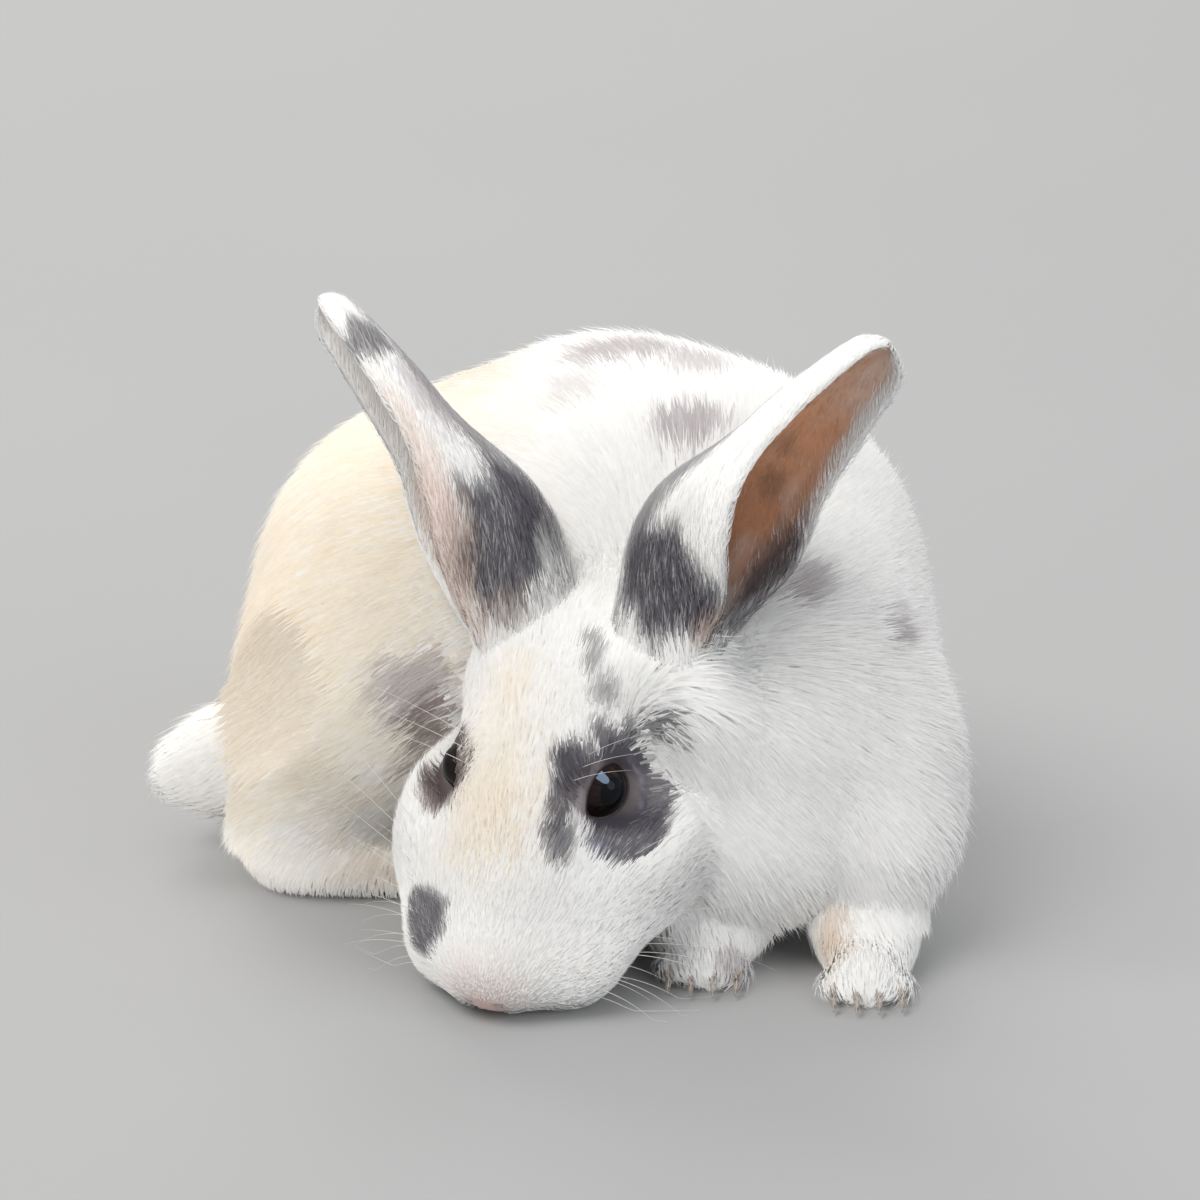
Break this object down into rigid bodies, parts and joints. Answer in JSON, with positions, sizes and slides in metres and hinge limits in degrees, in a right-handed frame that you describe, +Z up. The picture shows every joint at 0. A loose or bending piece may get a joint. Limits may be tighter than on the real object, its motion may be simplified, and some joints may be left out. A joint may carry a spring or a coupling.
{
  "type": "rabbit",
  "caption": "Life-size grazing domestic rabbit in a still pose, curled to its right with its nose to the ground and its ears up.",
  "frame": {"origin": "centre of the bounding box, on the floor", "axes": "+Z up from the floor, -Y where the chest faces, +X to the left side of the chest"},
  "size_m": [0.2274, 0.22, 0.1788],
  "materials": {
    "coat": "dense soft fur, white with slate-grey and fawn patches",
    "eye": "wet gloss, dark brown",
    "claw": "satin horn"
  },
  "bodies": {
    "root": {"head": "coat", "neck": "coat", "trunk": "coat", "tail": "coat", "left_ear": "coat", "right_ear": "coat", "left_thigh": "coat", "right_thigh": "coat", "left_foreleg": "coat", "right_foreleg": "coat", "left_forepaw": "coat", "right_forepaw": "coat", "left_hind_foot": "coat", "right_hind_foot": "coat", "left_eye": "eye", "right_eye": "eye", "left_fore_claw_1": "claw", "left_fore_claw_2": "claw", "left_fore_claw_3": "claw", "left_fore_claw_4": "claw", "left_hind_claw_1": "claw", "left_hind_claw_2": "claw", "left_hind_claw_3": "claw", "left_hind_claw_4": "claw", "right_fore_claw_1": "claw", "right_fore_claw_2": "claw", "right_fore_claw_3": "claw", "right_fore_claw_4": "claw", "right_hind_claw_1": "claw", "right_hind_claw_2": "claw", "right_hind_claw_3": "claw", "right_hind_claw_4": "claw"}
  },
  "joints": []
}
